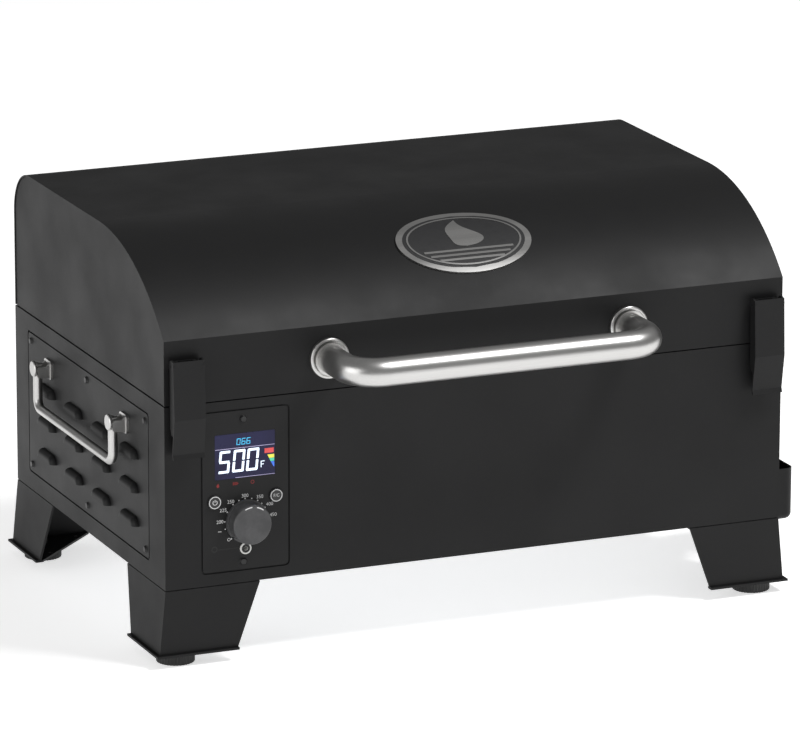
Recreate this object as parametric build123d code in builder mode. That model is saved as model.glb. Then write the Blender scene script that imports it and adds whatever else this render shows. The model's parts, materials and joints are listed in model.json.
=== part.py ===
from build123d import *
from math import atan2, cos, degrees, radians, sin, sqrt
import os

# Pellet smoker grill, tabletop size. Millimetres.
# Origin on the ground under the middle of the body. The front faces -Y, +X is to the right.

# ---------------------------------------------------------------- driving dimensions
body_w = 590.0          # body length, along X
body_d = 380.0          # body depth, along Y
sheet = 1.5             # steel sheet of the body and the lid

foot_h = 10.5           # levelling foot, ground to the underside of a foot plate
leg_h = 60.0            # leg, foot plate included
base_z = foot_h + leg_h             # underside of the body
seam_z = base_z + 165.0             # parting line between body and lid
crease_z = base_z + 223.0           # where the lid's front starts to curve back
top_z = base_z + 294.0              # lid's flat top
seam_gap = 1.0
rim_z = seam_z - seam_gap / 2       # top of the body
lid_z = seam_z + seam_gap / 2       # bottom of the lid
rim_w = 12.0                        # inward flange round the top of the body

half_w = body_w / 2
half_d = body_d / 2
in_w = half_w - sheet               # inner faces of the end panels
in_d = half_d - sheet               # inner faces of the front and back panels

curve_r = 208.0                     # radius of the lid's curved front
curve_y = -half_d + sqrt(curve_r**2 - (curve_r - (top_z - crease_z))**2)
curve_z = top_z - curve_r
back_round = 40.0                   # rounded top back corner of the lid

bay_x = -172.0                      # partition between the pellet side and the cooking side

panel_x = -half_w + 74.6            # control panel centre
panel_z = base_z + 83.5
panel_w = 79.5
panel_h = 143.0
panel_t = 1.2
panel_gap = 1.6                     # dark gap round the two inset panels

vent_y = 2.5                        # vent panel centre
vent_z = base_z + 83.0
vent_l = 305.5
vent_h = 130.0
vent_t = 1.2

auger_y = 20.0                      # auger axis, along X
auger_z = base_z + 42.0
pot_x = -10.0                       # fire pot centre

handle_x = 0.5                      # lid handle centre
handle_span = 285.4                 # between the two ends of the lid handle
handle_z = seam_z + 28.6
handle_out = 62.0                   # lid face to the centre of the bar
handle_bend = 27.0
handle_r = 12.7

latch_x = half_w - 18.5             # latch centre, from the middle of the body
latch_w = 29.0
latch_pin_y = -half_d - 7.0
latch_pin_z = seam_z + 37.4

carry_y = 3.0                       # carry handle centre
carry_span = 193.0
carry_z = base_z + 128.5            # pivot height
carry_out = 11.5                    # end face of the body to the pivot
carry_drop = 36.5
rod_r = 4.2

hinge_y = half_d + 6.0              # lid hinge axis, along X
hinge_x = 190.0                     # each hinge, from the middle
knuckle_r = 5.0
knuckle_l = 20.0

cup_x = half_w + 5.6                # wall of the grease cup nearest the body
cup_w = 59.0
cup_y = -57.0
cup_l = 70.0
cup_top = base_z + 13.0
cup_h = 49.0
cup_t = 1.0

running = 0.05                      # radial clearance of a pin or a shaft in its hole
screw_hole_r = 1.9


def save(piece, name):
    """Label a finished piece and write it as its own file."""
    piece.part.label = name
    export_step(piece.part, f"parts/{name}.step")


def front_plane(x=0.0, z=0.0, out=0.0):
    """A plane on the body's front face, facing forward, with its own Y upward."""
    return Plane(origin=(x, -half_d - out, z), x_dir=(1, 0, 0), z_dir=(0, -1, 0))


def end_plane(side, y=0.0, z=0.0, out=0.0):
    """A plane on an end face of the body, facing outward, with its own Y upward."""
    return Plane(origin=(side * (half_w + out), y, z), x_dir=(0, side, 0), z_dir=(side, 0, 0))


os.makedirs("parts", exist_ok=True)

# ---------------------------------------------------------------- screw positions
panel_screws_xz = [(panel_x - 1.9, base_z + 147.4), (panel_x - 2.4, base_z + 18.9)]
vent_screws_yz = [
    (vent_y + column * (vent_l / 2 - 7.5), vent_z + row * (vent_h / 2 - 7.0))
    for column in (-1, 0, 1)
    for row in (-1, 1)
]
leg_screw_in = 30.0                 # leg screws, in from both faces of the body
leg_screw_side = 22.0
leg_screws_xy = [
    (side * (half_w - x_in), end * (half_d - y_in))
    for side in (-1, 1)
    for end in (-1, 1)
    for x_in, y_in in ((leg_screw_in + leg_screw_side, 12.0), (12.0, leg_screw_in + leg_screw_side))
]

# ---------------------------------------------------------------- body shell
ledge_over = 9.0                    # a joggled ledge is this much larger than the panel lying on it

with BuildPart() as front_panel:
    with BuildSketch(front_plane(0, base_z)):
        with Locations((0, (rim_z - base_z) / 2)):
            Rectangle(body_w, rim_z - base_z)
        with Locations((panel_x, panel_z - base_z)):
            RectangleRounded(panel_w + 2 * panel_gap, panel_h + 2 * panel_gap, 4.5, mode=Mode.SUBTRACT)
    extrude(amount=-sheet)
    with BuildSketch(front_plane(panel_x, panel_z, -panel_t)):
        Rectangle(panel_w + ledge_over, panel_h + ledge_over)
        Rectangle(panel_w - 7, panel_h - 26, mode=Mode.SUBTRACT)
        with Locations(*[(x - panel_x, z - panel_z) for x, z in panel_screws_xz]):
            Circle(screw_hole_r, mode=Mode.SUBTRACT)
    extrude(amount=-sheet)
    with BuildSketch(Plane.XY.offset(rim_z)):
        with Locations((0, -in_d + rim_w / 2)):
            Rectangle(2 * in_w, rim_w)
    extrude(amount=-sheet)
save(front_panel, "front_panel")

outlet_w = 60.0                     # exhaust slots
with BuildPart() as back_panel:
    with BuildSketch(Plane.XZ.offset(-half_d)):
        with Locations((0, (rim_z + base_z) / 2)):
            Rectangle(body_w, rim_z - base_z)
        with Locations((60, seam_z - 34)):
            with GridLocations(outlet_w + 16, 12, 4, 3):
                SlotOverall(outlet_w, 6, mode=Mode.SUBTRACT)
        with Locations((-230, base_z + 45)):
            Rectangle(27.4, 20.4, mode=Mode.SUBTRACT)
    extrude(amount=sheet)
    with BuildSketch(Plane.XY.offset(rim_z)):
        with Locations((0, in_d - rim_w / 2)):
            Rectangle(2 * in_w, rim_w)
    extrude(amount=-sheet)
save(back_panel, "back_panel")

spout_y = cup_y
spout_top = (266.0, spout_y, base_z + 93.0)
spout_knee = (266.0, spout_y, base_z + 62.0)
spout_tip = (half_w + 27.0, spout_y, base_z + 23.0)
spout_r = 10.0


def end_panel(side):
    """An end wall with its top flange; the left one is open behind the vent panel."""
    with BuildPart() as panel:
        with BuildSketch(end_plane(side)):
            with Locations((0, (rim_z + base_z) / 2)):
                Rectangle(2 * in_d, rim_z - base_z)
            if side < 0:
                with Locations((-vent_y, vent_z)):
                    RectangleRounded(vent_l + 2 * panel_gap, vent_h + 2 * panel_gap, 4, mode=Mode.SUBTRACT)
        extrude(amount=-sheet)
        if side < 0:
            with BuildSketch(end_plane(-1, vent_y, vent_z, -vent_t)):
                Rectangle(vent_l + ledge_over, vent_h + ledge_over)
                Rectangle(vent_l - 30, vent_h - 28, mode=Mode.SUBTRACT)
                with Locations(*[(vent_y - y, z - vent_z) for y, z in vent_screws_yz]):
                    Circle(screw_hole_r, mode=Mode.SUBTRACT)
            extrude(amount=-sheet)
        with BuildSketch(Plane.XY.offset(rim_z)):
            with Locations((side * (in_w - rim_w / 2), 0)):
                Rectangle(rim_w, 2 * (in_d - rim_w))
        extrude(amount=-sheet)
        if side > 0:
            bore = Plane(origin=spout_knee, z_dir=Vector(*spout_tip) - Vector(*spout_knee))
            with BuildSketch(bore):
                Circle(spout_r + 0.6)
            extrude(amount=80, mode=Mode.SUBTRACT)
    return panel


left_end_panel = end_panel(-1)
save(left_end_panel, "left_end_panel")
right_end_panel = end_panel(1)
save(right_end_panel, "right_end_panel")

with BuildPart() as floor_pan:
    with BuildSketch(Plane.XY.offset(base_z)):
        Rectangle(2 * in_w, 2 * in_d)
        with Locations(*leg_screws_xy):
            Circle(screw_hole_r, mode=Mode.SUBTRACT)
    extrude(amount=sheet)
save(floor_pan, "floor_pan")

tube_r = 21.0                       # auger tube
tube_wall = 1.5
duct_y = 118.0                      # fan outlet duct
duct_z = base_z + 30.0
duct_w = 30.0
igniter_y = auger_y - 28.0
igniter_z = base_z + 24.0
wall_bottom = base_z + sheet
wall_top = rim_z - sheet - 0.3

with BuildPart() as partition_wall:
    with BuildSketch(Plane.YZ.offset(bay_x)):
        with Locations((0, (wall_bottom + wall_top) / 2)):
            Rectangle(2 * in_d, wall_top - wall_bottom)
        with Locations((auger_y, auger_z)):
            Circle(tube_r + 0.2, mode=Mode.SUBTRACT)
        with Locations((duct_y, duct_z)):
            Rectangle(duct_w + 0.4, duct_w + 0.4, mode=Mode.SUBTRACT)
        with Locations((igniter_y, igniter_z)):
            Circle(5.2, mode=Mode.SUBTRACT)
    extrude(amount=sheet)
save(partition_wall, "partition_wall")

# ---------------------------------------------------------------- vent panel
louvre_l = 40.0
louvre_h = 16.0                     # full height of the domed slot that half a louvre is cut from
louvre_out = 5.6
louvre_wall = 1.0


def louvre_dome(shrink):
    """A domed slot; the upper half of one is a louvre's hood."""
    with BuildPart() as dome:
        with BuildSketch():
            SlotOverall(louvre_l - 2 * shrink, louvre_h - 2 * shrink)
        extrude(amount=louvre_out - shrink)
        fillet(dome.faces().sort_by(Axis.Z)[-1].edges(), louvre_out - shrink - 0.4)
        split(bisect_by=Plane.XZ, keep=Keep.BOTTOM)
    return dome.part


hood = louvre_dome(0)
hollow = louvre_dome(louvre_wall)

louvres_at = [
    (3.5 + 70.0 * column, -12.0 + 30.5 * row)
    for column in (-1.5, -0.5, 0.5, 1.5)
    for row in (-1, 0, 1)
]

vent_face = end_plane(-1, vent_y, vent_z)
with BuildPart() as vent_panel:
    with BuildSketch(vent_face):
        RectangleRounded(vent_l, vent_h, 3)
        with Locations(*[(vent_y - y, z - vent_z) for y, z in vent_screws_yz]):
            Circle(screw_hole_r, mode=Mode.SUBTRACT)
        with Locations(*[(x, y + 3.4) for x, y in louvres_at]):
            SlotOverall(louvre_l - 4, 4.8, mode=Mode.SUBTRACT)
    extrude(amount=-vent_t)
    with Locations(*[vent_face * Pos(x, y) for x, y in louvres_at]):
        add(hood)
        add(hollow, mode=Mode.SUBTRACT)
save(vent_panel, "vent_panel")

# ---------------------------------------------------------------- control panel and electronics
display_w = 55.8
display_h = 40.0
display_at = (-0.2, base_z + 114.5 - panel_z)       # on the panel, from its centre
button_at = [(-28.8, base_z + 75.0 - panel_z), (28.4, base_z + 75.4 - panel_z)]
button_r = 6.2
knob_at = (0.8, base_z + 55.3 - panel_z)
knob_r = 17.8
knob_h = 15.6
knob_skirt_r = 19.4
knob_skirt_h = 3.4
jack_at = (-0.2, base_z + 30.6 - panel_z)
jack_r = 5.2

panel_face = front_plane(panel_x, panel_z)
with BuildPart() as control_panel:
    with BuildSketch(panel_face):
        RectangleRounded(panel_w, panel_h, 3.5)
        with Locations(display_at):
            RectangleRounded(display_w + 0.4, display_h + 0.4, 1.2, mode=Mode.SUBTRACT)
        with Locations(*button_at):
            Circle(button_r + 0.35, mode=Mode.SUBTRACT)
        with Locations(knob_at):
            Circle(5, mode=Mode.SUBTRACT)
        with Locations(jack_at):
            Circle(jack_r - 1.0, mode=Mode.SUBTRACT)
        with Locations(*[(x - panel_x, z - panel_z) for x, z in panel_screws_xz]):
            Circle(screw_hole_r, mode=Mode.SUBTRACT)
    extrude(amount=-panel_t)
save(control_panel, "control_panel")

with BuildPart() as display_lens:
    with BuildSketch(panel_face):
        with Locations(display_at):
            RectangleRounded(display_w, display_h, 1.0)
    extrude(amount=-panel_t)
save(display_lens, "display_lens")

board_in = 15.0                     # behind the control panel
encoder_r = 3.0                     # knob shaft
button_travel = 1.0
board_face = front_plane(panel_x, panel_z, -panel_t)
with BuildPart() as control_board:
    with BuildSketch(board_face.offset(-board_in)):
        Rectangle(panel_w - 14, panel_h - 28)
    extrude(amount=-1.6)
    with BuildSketch(board_face.offset(-board_in)):
        with Locations(display_at):
            Rectangle(display_w - 2, display_h - 2)
    extrude(amount=board_in)
    with BuildSketch(board_face.offset(-board_in)):
        with Locations(knob_at):
            Rectangle(13, 13)
    extrude(amount=board_in - 4)
    with BuildSketch(board_face.offset(-5)):
        with Locations(knob_at):
            Circle(encoder_r)
    extrude(amount=5 + panel_t + knob_h - 4)
    with BuildSketch(board_face.offset(-board_in)):
        with Locations(*button_at):
            Rectangle(6, 6)
    extrude(amount=4)
save(control_board, "control_board")

with BuildPart() as temperature_knob:
    with BuildSketch(panel_face.offset(0.4)):
        with Locations(knob_at):
            Circle(knob_r)
    extrude(amount=knob_h - 0.4)
    fillet(temperature_knob.faces().sort_by(Axis.Y)[0].edges(), 1.2)
    with BuildSketch(panel_face.offset(0.4)):
        with Locations(knob_at):
            Circle(knob_skirt_r)
            with PolarLocations(knob_skirt_r + 0.2, 1, start_angle=225):
                Circle(1.6, mode=Mode.SUBTRACT)
    extrude(amount=knob_skirt_h - 0.4)
    with BuildSketch(panel_face.offset(0.4)):
        with Locations(knob_at):
            Circle(encoder_r + running)
    extrude(amount=knob_h - 4, mode=Mode.SUBTRACT)
save(temperature_knob, "temperature_knob")


def push_button(at):
    """A round cap with a stem that ends just short of its switch."""
    with BuildPart() as button:
        with BuildSketch(panel_face.offset(-3)):
            with Locations(at):
                Circle(button_r)
        extrude(amount=3 + 1.6)
        fillet(button.faces().sort_by(Axis.Y)[0].edges(), 0.6)
        with BuildSketch(panel_face.offset(-3)):
            with Locations(at):
                Circle(2.5)
        extrude(amount=-(board_in - 4 - 3 + panel_t - button_travel - 0.2))
    return button


power_button = push_button(button_at[0])
save(power_button, "power_button")
unit_button = push_button(button_at[1])
save(unit_button, "unit_button")

with BuildPart() as probe_jack:
    with BuildSketch(panel_face):
        with Locations(jack_at):
            Circle(jack_r)
    extrude(amount=1.4)
    with BuildSketch(panel_face):
        with Locations(jack_at):
            Circle(jack_r - 1.2)
    extrude(amount=-12)
    with BuildSketch(panel_face.offset(1.4)):
        with Locations(jack_at):
            Circle(1.8)
    extrude(amount=-12, mode=Mode.SUBTRACT)
save(probe_jack, "probe_jack")

# ---------------------------------------------------------------- screws
screw_head_r = 3.4


def pan_screws(plane, points, depth):
    """Pan-head screws standing on a plane, each with its shank going in by depth."""
    with BuildPart() as screws:
        with BuildSketch(plane):
            with Locations(*points):
                Circle(screw_head_r)
        extrude(amount=1.8, taper=30)
        with BuildSketch(plane):
            with Locations(*points):
                Circle(screw_hole_r - 0.1)
        extrude(amount=-depth)
    return screws


under_legs = Plane((0, 0, base_z - 2.0), z_dir=(0, 0, -1))
with BuildPart() as panel_screws:
    add(pan_screws(end_plane(-1), [(-y, z) for y, z in vent_screws_yz], 7).part)
    add(pan_screws(front_plane(), panel_screws_xz, 8).part)
    add(pan_screws(under_legs, [(x, -y) for x, y in leg_screws_xy], 8).part)
save(panel_screws, "panel_screws")

# ---------------------------------------------------------------- pellet hopper and auger
hopper_w = 99.0
hopper_l = 255.0
hopper_x = bay_x - 8.0 - hopper_w / 2
hopper_y = 10.0
hopper_top = wall_top - 3.2
hopper_neck = base_z + 92.0         # where the straight walls end
hopper_mouth = auger_z + tube_r + 0.4
mouth_w = 44.0
mouth_l = 30.0
bin_t = 1.2


def hopper_block(inset, low, high):
    """The hopper's outer shape drawn in by inset, from the mouth at low up to high."""
    with BuildPart() as block:
        with BuildSketch(Plane((hopper_x, auger_y, low))):
            Rectangle(mouth_w - 2 * inset, mouth_l - 2 * inset)
        with BuildSketch(Plane((hopper_x, hopper_y, hopper_neck))):
            Rectangle(hopper_w - 2 * inset, hopper_l - 2 * inset)
        loft()
        with BuildSketch(Plane((hopper_x, hopper_y, hopper_neck))):
            Rectangle(hopper_w - 2 * inset, hopper_l - 2 * inset)
        extrude(amount=high - hopper_neck)
    return block.part


with BuildPart() as hopper_bin:
    add(hopper_block(0, hopper_mouth, hopper_top))
    add(hopper_block(bin_t, hopper_mouth, hopper_top), mode=Mode.SUBTRACT)
save(hopper_bin, "hopper_bin")

hopper_side = hopper_x + hopper_w / 2
hopper_pin_x = hopper_side + 2.8    # hinge of the hopper lid, along Y
hopper_pin_z = hopper_top + 3.3
hopper_knuckle_r = 2.4
hopper_lid_left = hopper_x - hopper_w / 2 - 1.3
with BuildPart() as hopper_lid:
    with BuildSketch(Plane.XY.offset(hopper_top + 0.4)):
        with Locations(((hopper_lid_left + hopper_side - 0.4) / 2, hopper_y)):
            Rectangle(hopper_side - 0.4 - hopper_lid_left, hopper_l + 3)
    extrude(amount=1.2)
    with BuildSketch(Plane.XZ.offset(-hopper_y)):
        with Locations((hopper_pin_x, hopper_pin_z)):
            Circle(hopper_knuckle_r)
        with Locations((hopper_pin_x - 2.4, hopper_top + 1.5)):
            Rectangle(4.8, 1.2)
        with Locations((hopper_pin_x, hopper_pin_z)):
            Circle(1.5 + running, mode=Mode.SUBTRACT)
        with BuildLine():
            Polyline(
                (hopper_lid_left + 2, hopper_top + 1.6),
                (hopper_lid_left + 2, hopper_top + 5.5),
                (hopper_lid_left + 12, hopper_top + 5.5),
                (hopper_lid_left + 12, hopper_top + 4.3),
                (hopper_lid_left + 3.2, hopper_top + 4.3),
                (hopper_lid_left + 3.2, hopper_top + 1.6),
                close=True,
            )
        make_face()
    extrude(amount=30, both=True)
save(hopper_lid, "hopper_lid")

with BuildPart() as hopper_hinge:
    with BuildSketch(Plane.XZ.offset(-hopper_y)):
        with Locations((hopper_pin_x, hopper_pin_z)):
            Circle(1.5)
    extrude(amount=37, both=True)
    for end in (-1, 1):
        with BuildSketch(Plane.XZ.offset(-hopper_y - end * 30.4)):
            with Locations((hopper_pin_x, hopper_pin_z)):
                Circle(hopper_knuckle_r)
            with Locations((hopper_side + 0.8, hopper_pin_z - 7)):
                Rectangle(1.6, 14)
        extrude(amount=-end * 7)
save(hopper_hinge, "hopper_hinge")

tube_left = -254.0
pot_r = 42.0
pot_wall = 3.0
tube_right = pot_x - pot_r + 1.5
tube_end = Plane((tube_left, auger_y, auger_z), z_dir=(1, 0, 0))
with BuildPart() as auger_tube:
    with BuildSketch(tube_end):
        Circle(tube_r)
        Circle(tube_r - tube_wall, mode=Mode.SUBTRACT)
    extrude(amount=tube_right - tube_left)
    with BuildSketch(Plane((hopper_x, auger_y, auger_z))):
        Rectangle(mouth_w - 4, mouth_l - 4)
    extrude(amount=40, mode=Mode.SUBTRACT)
save(auger_tube, "auger_tube")

flight_r = tube_r - tube_wall - 0.8
flight_pitch = 34.0
shaft_r = 5.0
screw_left = tube_left - 18.0
screw_right = tube_right - 14.0
with BuildSketch() as flight_section:
    Rectangle(2 * flight_r, 2.4)
    Circle(shaft_r)
flight_turns = (screw_right - tube_left - 6) / (2 * flight_pitch)
flight = Solid.extrude_linear_with_rotation(
    flight_section.face(), (0, 0, 0), (0, 0, screw_right - tube_left - 6), 360 * flight_turns
)
flight_end = Plane((tube_left + 6, auger_y, auger_z), z_dir=(1, 0, 0))
with BuildPart() as auger_screw:
    with Locations(flight_end.location):
        add(flight)
    with BuildSketch(flight_end.offset(-6 - tube_left + screw_left)):
        Circle(shaft_r)
    extrude(amount=tube_left - screw_left + 8)
save(auger_screw, "auger_screw")

motor_w = 44.0
motor_right = tube_left - 1.0
motor_end = Plane((motor_right, auger_y, auger_z), z_dir=(-1, 0, 0))
with BuildPart() as auger_motor:
    with BuildSketch(motor_end):
        RectangleRounded(motor_w, motor_w, 5)
    extrude(amount=20)
    with BuildSketch(motor_end.offset(20)):
        Circle(20)
    extrude(amount=15)
    with BuildSketch(motor_end):
        Circle(shaft_r + running)
    extrude(amount=18.5, mode=Mode.SUBTRACT)
save(auger_motor, "auger_motor")

# ---------------------------------------------------------------- fan
fan_x = -264.0
fan_r = 30.0
fan_z = base_z + 45.0
fan_w = 30.0
fan_middle = Plane((fan_x, duct_y, fan_z), x_dir=(0, 1, 0), z_dir=(1, 0, 0))
with BuildPart() as fan_housing:
    with BuildSketch(fan_middle.offset(-fan_w / 2)):
        Circle(fan_r + 6)
    extrude(amount=fan_w)
    with BuildSketch(fan_middle.offset(-fan_w / 2 + 1.5)):
        Circle(fan_r + 4.5)
    extrude(amount=fan_w - 3, mode=Mode.SUBTRACT)
    with BuildSketch(fan_middle.offset(-fan_w / 2)):
        Circle(fan_r - 9)
    extrude(amount=2, mode=Mode.SUBTRACT)
    with BuildSketch(fan_middle.offset(fan_w / 2)):
        with Locations((0, duct_z - fan_z)):
            Rectangle(duct_w, duct_w)
            Rectangle(duct_w - 3, duct_w - 3, mode=Mode.SUBTRACT)
    extrude(amount=bay_x + sheet + 6 - fan_x - fan_w / 2)
    with BuildSketch(fan_middle.offset(fan_w / 2 - 2)):
        with Locations((0, duct_z - fan_z)):
            Rectangle(duct_w - 3, duct_w - 3)
    extrude(amount=3, mode=Mode.SUBTRACT)
    with BuildSketch(fan_middle.offset(-fan_w / 2)):
        Circle(2.0)
        with PolarLocations(fan_r / 2 - 4, 3):
            Rectangle(fan_r - 6, 2)
    extrude(amount=1.5)
    with BuildSketch(fan_middle.offset(-fan_w / 2 + 1.5)):
        Circle(2.0)
    extrude(amount=fan_w - 6)
save(fan_housing, "fan_housing")

blade_l = 10.0
with BuildPart() as fan_impeller:
    with BuildSketch(fan_middle.offset(fan_w / 2 - 6)):
        Circle(fan_r)
    extrude(amount=1.5)
    with BuildSketch(fan_middle.offset(-fan_w / 2 + 4)):
        Circle(8)
    extrude(amount=fan_w - 10)
    with BuildSketch(fan_middle.offset(-fan_w / 2 + 4)):
        with PolarLocations(fan_r - blade_l / 2 - 0.5, 16):
            Rectangle(blade_l, 1.2, rotation=30)
    extrude(amount=fan_w - 10)
    with BuildSketch(fan_middle.offset(-fan_w / 2)):
        Circle(2.0 + running)
    extrude(amount=fan_w, mode=Mode.SUBTRACT)
save(fan_impeller, "fan_impeller")

inlet_face = Plane((-230, half_d, base_z + 45), x_dir=(-1, 0, 0), z_dir=(0, 1, 0))
with BuildPart() as power_inlet:
    with BuildSketch(inlet_face):
        RectangleRounded(44, 26, 3)
    extrude(amount=2)
    with BuildSketch(inlet_face):
        Rectangle(27, 20)
    extrude(amount=-17)
    with BuildSketch(inlet_face.offset(2)):
        RectangleRounded(23, 16, 2)
    extrude(amount=-16, mode=Mode.SUBTRACT)
    with BuildSketch(inlet_face.offset(-14)):
        with Locations((-7, -2), (0, 2), (7, -2)):
            Rectangle(2, 5)
    extrude(amount=12)
save(power_inlet, "power_inlet")

# ---------------------------------------------------------------- fire pot and cooking chamber
pot_low = base_z + sheet + 0.0
pot_h = 70.0
with BuildPart() as fire_pot:
    with BuildSketch(Plane((pot_x, auger_y, pot_low))):
        Circle(pot_r)
    extrude(amount=pot_h)
    with BuildSketch(Plane((pot_x, auger_y, pot_low + 12))):
        Circle(pot_r - pot_wall)
    extrude(amount=pot_h, mode=Mode.SUBTRACT)
    with BuildSketch(Plane((pot_x, auger_y, pot_low + 2))):
        Circle(pot_r - pot_wall)
    extrude(amount=7, mode=Mode.SUBTRACT)
    with BuildSketch(Plane((pot_x, auger_y, pot_low + 8))):
        with GridLocations(12, 12, 4, 4):
            Circle(2)
    extrude(amount=6, mode=Mode.SUBTRACT)
    with BuildSketch(Plane((pot_x, auger_y, auger_z), z_dir=(-1, 0, 0))):
        Circle(tube_r + 0.3)
    extrude(amount=pot_r + 5, mode=Mode.SUBTRACT)
    with BuildSketch(Plane((pot_x, auger_y, pot_low + 60))):
        with PolarLocations(pot_r, 16):
            Rectangle(12, 3.5)
    extrude(amount=4, mode=Mode.SUBTRACT)
save(fire_pot, "fire_pot")

igniter_end = Plane((-180, igniter_y, igniter_z), z_dir=(1, 0, 0))
with BuildPart() as igniter_rod:
    with BuildSketch(igniter_end):
        Circle(5)
    extrude(amount=60)
    with BuildSketch(igniter_end.offset(60)):
        Circle(3.5)
    extrude(amount=65)
save(igniter_rod, "igniter_rod")

deflector_z = base_z + 92.0
with BuildPart() as heat_deflector:
    with BuildSketch(Plane.XZ.offset(-auger_y)):
        with BuildLine():
            Polyline(
                (pot_x - 62, deflector_z),
                (pot_x, deflector_z + 12),
                (pot_x + 62, deflector_z),
                (pot_x + 62, deflector_z - 1.5),
                (pot_x, deflector_z + 10.5),
                (pot_x - 62, deflector_z - 1.5),
                close=True,
            )
        make_face()
    extrude(amount=65, both=True)
    with BuildSketch(Plane.XY.offset(base_z + sheet)):
        with Locations((pot_x, auger_y)):
            with GridLocations(110, 110, 2, 2):
                Rectangle(6, 10)
    extrude(until=Until.NEXT)
save(heat_deflector, "heat_deflector")

tray_left = bay_x + sheet + 6.0
tray_right = 284.0
tray_high = base_z + 124.0
tray_low = base_z + 106.0
tray_d = 172.0
tray_trough = base_z + 94.0
trough_x = 246.0
with BuildPart() as grease_tray:
    with BuildSketch(Plane.XZ):
        with BuildLine():
            Polyline(
                (tray_left, tray_high + 8),
                (tray_left, tray_high),
                (trough_x, tray_low),
                (trough_x, tray_trough),
                (tray_right, tray_trough),
                (tray_right, tray_high + 8),
                (tray_right - 1.2, tray_high + 8),
                (tray_right - 1.2, tray_trough + 1.2),
                (trough_x + 1.2, tray_trough + 1.2),
                (trough_x + 1.2, tray_low + 1.2),
                (tray_left + 1.2, tray_high + 1.2),
                (tray_left + 1.2, tray_high + 8),
                close=True,
            )
        make_face()
    extrude(amount=tray_d, both=True)
    with BuildSketch(Plane((spout_top[0], spout_y, tray_trough))):
        Circle(8)
    extrude(amount=3, mode=Mode.SUBTRACT)
    for end in (-1, 1):
        with BuildSketch(Plane.XZ.offset(end * tray_d)):
            with BuildLine():
                Polyline(
                    (tray_left, tray_high + 8),
                    (tray_left, tray_high),
                    (trough_x, tray_low),
                    (trough_x, tray_trough),
                    (tray_right, tray_trough),
                    (tray_right, tray_high + 8),
                    close=True,
                )
            make_face()
        extrude(amount=end * 1.2)
save(grease_tray, "grease_tray")

with BuildPart() as grease_spout:
    with BuildLine():
        FilletPolyline(spout_top, spout_knee, spout_tip, radius=12)
    with BuildSketch(Plane(spout_top, z_dir=(0, 0, -1))):
        Circle(spout_r)
        Circle(spout_r - 1, mode=Mode.SUBTRACT)
    sweep()
save(grease_spout, "grease_spout")

grate_z = base_z + 148.0            # centre of the grate rods
grate_d = 364.0
grate_gap = 3.0
grate_w = (2 * in_w - (bay_x + sheet + in_w) - 4.0) / 2
bar_r = 2.5
frame_r = 3.0


def cooking_grate(centre_x):
    """A rod frame with parallel bars laid along Y."""
    with BuildPart() as grate:
        with BuildSketch(Plane.XZ.offset(-grate_d / 2)):
            with Locations((centre_x, grate_z)):
                with GridLocations((grate_w - 2 * frame_r) / 14, 1, 15, 1):
                    Circle(bar_r)
        extrude(amount=grate_d)
        for end in (-1, 1):
            rail_at = (centre_x - grate_w / 2, end * (grate_d / 2 - frame_r), grate_z)
            with BuildSketch(Plane(rail_at, z_dir=(1, 0, 0))):
                Circle(frame_r)
            extrude(amount=grate_w)
            brace_at = (centre_x - grate_w / 2, end * 70, grate_z - 2 * bar_r + 0.6)
            with BuildSketch(Plane(brace_at, z_dir=(1, 0, 0))):
                Circle(bar_r)
            extrude(amount=grate_w)
    return grate


grate_x = (bay_x + sheet + in_w) / 2
cooking_grate_left = cooking_grate(grate_x - grate_w / 2 - grate_gap / 2)
save(cooking_grate_left, "cooking_grate_left")
cooking_grate_right = cooking_grate(grate_x + grate_w / 2 + grate_gap / 2)
save(cooking_grate_right, "cooking_grate_right")

ledge_w = 14.0
with BuildPart() as grate_ledges:
    for end in (-1, 1):
        with BuildSketch(Plane((bay_x + sheet, 0, 0), x_dir=(0, 1, 0), z_dir=(1, 0, 0))):
            with Locations((end * (in_d - ledge_w / 2), grate_z - frame_r - 0.6)):
                Rectangle(ledge_w, 1.2)
            with Locations((end * (in_d - 0.6), grate_z - frame_r - 8)):
                Rectangle(1.2, 14)
        extrude(amount=in_w - bay_x - sheet)
save(grate_ledges, "grate_ledges")

probe_end = Plane((-110, in_d, base_z + 155), z_dir=(0, -1, 0))
with BuildPart() as temperature_probe:
    with BuildSketch(probe_end):
        Circle(6)
    extrude(amount=3)
    with BuildSketch(probe_end):
        Circle(2.5)
    extrude(amount=9)
save(temperature_probe, "temperature_probe")

# ---------------------------------------------------------------- legs and levelling feet
leg_t = 2.0
leg_top_x = 88.0                    # front or back plate, at the top
leg_bottom_x = 73.0
leg_top_y = 94.0                    # side plate, at the top
leg_bottom_y = 72.0
leg_splay = 5.5                     # outward at the bottom, in X
plate_t = 2.0
plate_lip = 3.5
leg_reveal = 0.9                    # shadow gap between a leg's plates and the body
foot_in_x = 22.0                    # levelling foot, in from the corner of the leg's bottom
foot_in_y = 20.2
foot_r = 17.0
stud_r = 4.0


def leg_angle(side, end, z, out, arm_x, arm_y):
    """An L-shaped outline on the plane at z, its corner out past the body's corner by out."""
    corner_x = side * (half_w + out)
    corner_y = end * half_d
    with BuildSketch(Plane.XY.offset(z)) as angle:
        with BuildLine():
            Polyline(
                (corner_x, corner_y),
                (corner_x - side * arm_x, corner_y),
                (corner_x - side * arm_x, corner_y - end * leg_t),
                (corner_x - side * leg_t, corner_y - end * leg_t),
                (corner_x - side * leg_t, corner_y - end * arm_y),
                (corner_x, corner_y - end * arm_y),
                close=True,
            )
        make_face()
    return angle.sketch


def foot_centre(side, end):
    return side * (half_w + leg_splay - foot_in_x), end * (half_d - foot_in_y)


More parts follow.
